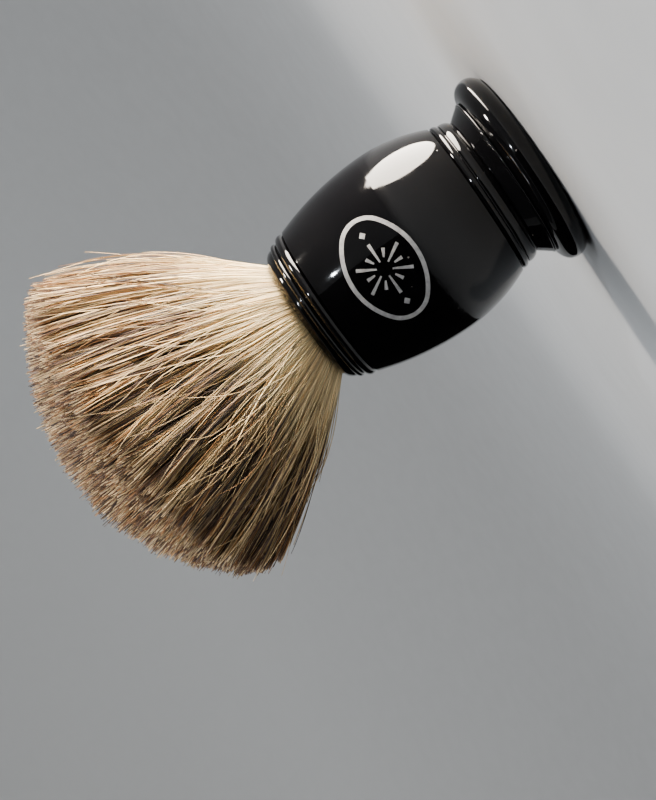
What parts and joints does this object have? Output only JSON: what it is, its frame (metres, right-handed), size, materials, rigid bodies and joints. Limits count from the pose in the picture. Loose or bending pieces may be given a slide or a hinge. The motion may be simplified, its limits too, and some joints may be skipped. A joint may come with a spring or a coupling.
{
  "type": "shaving brush",
  "caption": "Shaving brush with a turned glossy black handle on a round foot and a domed fan of animal hair that flexes above the handle's mouth.",
  "frame": {"origin": "centre of the foot's flat underside", "axes": "+Z along the brush's own axis towards the hair tips; -Y out of the middle of the printed emblem; +X to the emblem's right"},
  "size_m": [0.0668, 0.0668, 0.0976],
  "materials": {
    "black_resin": "mirror gloss black, polished",
    "steel": "turned, plain",
    "grey_ink": "pad-printed ink, satin",
    "epoxy": "cured, satin",
    "cast_plug": "cast, dull",
    "thread": "twisted cotton",
    "hair": "natural animal hair, cream at the root, grey-brown band, tan tips"
  },
  "bodies": {
    "handle": {"handle_body": "black_resin", "foot": "black_resin", "ballast": "steel", "emblem_print": "grey_ink", "glue_bed": "epoxy", "knot_plug": "cast_plug", "binding_thread": "thread", "hair_roots": "hair"},
    "hair": {"hair_tuft": "hair"}
  },
  "joints": [
    {"name": "hair_bend", "type": "hinge", "parent": "handle", "child": "hair", "pos_m": [0, 0, 0.056], "axis": [0, 1, 0], "range_deg": [-20, 20], "stiffness_Nm_per_rad": 0.15}
  ]
}
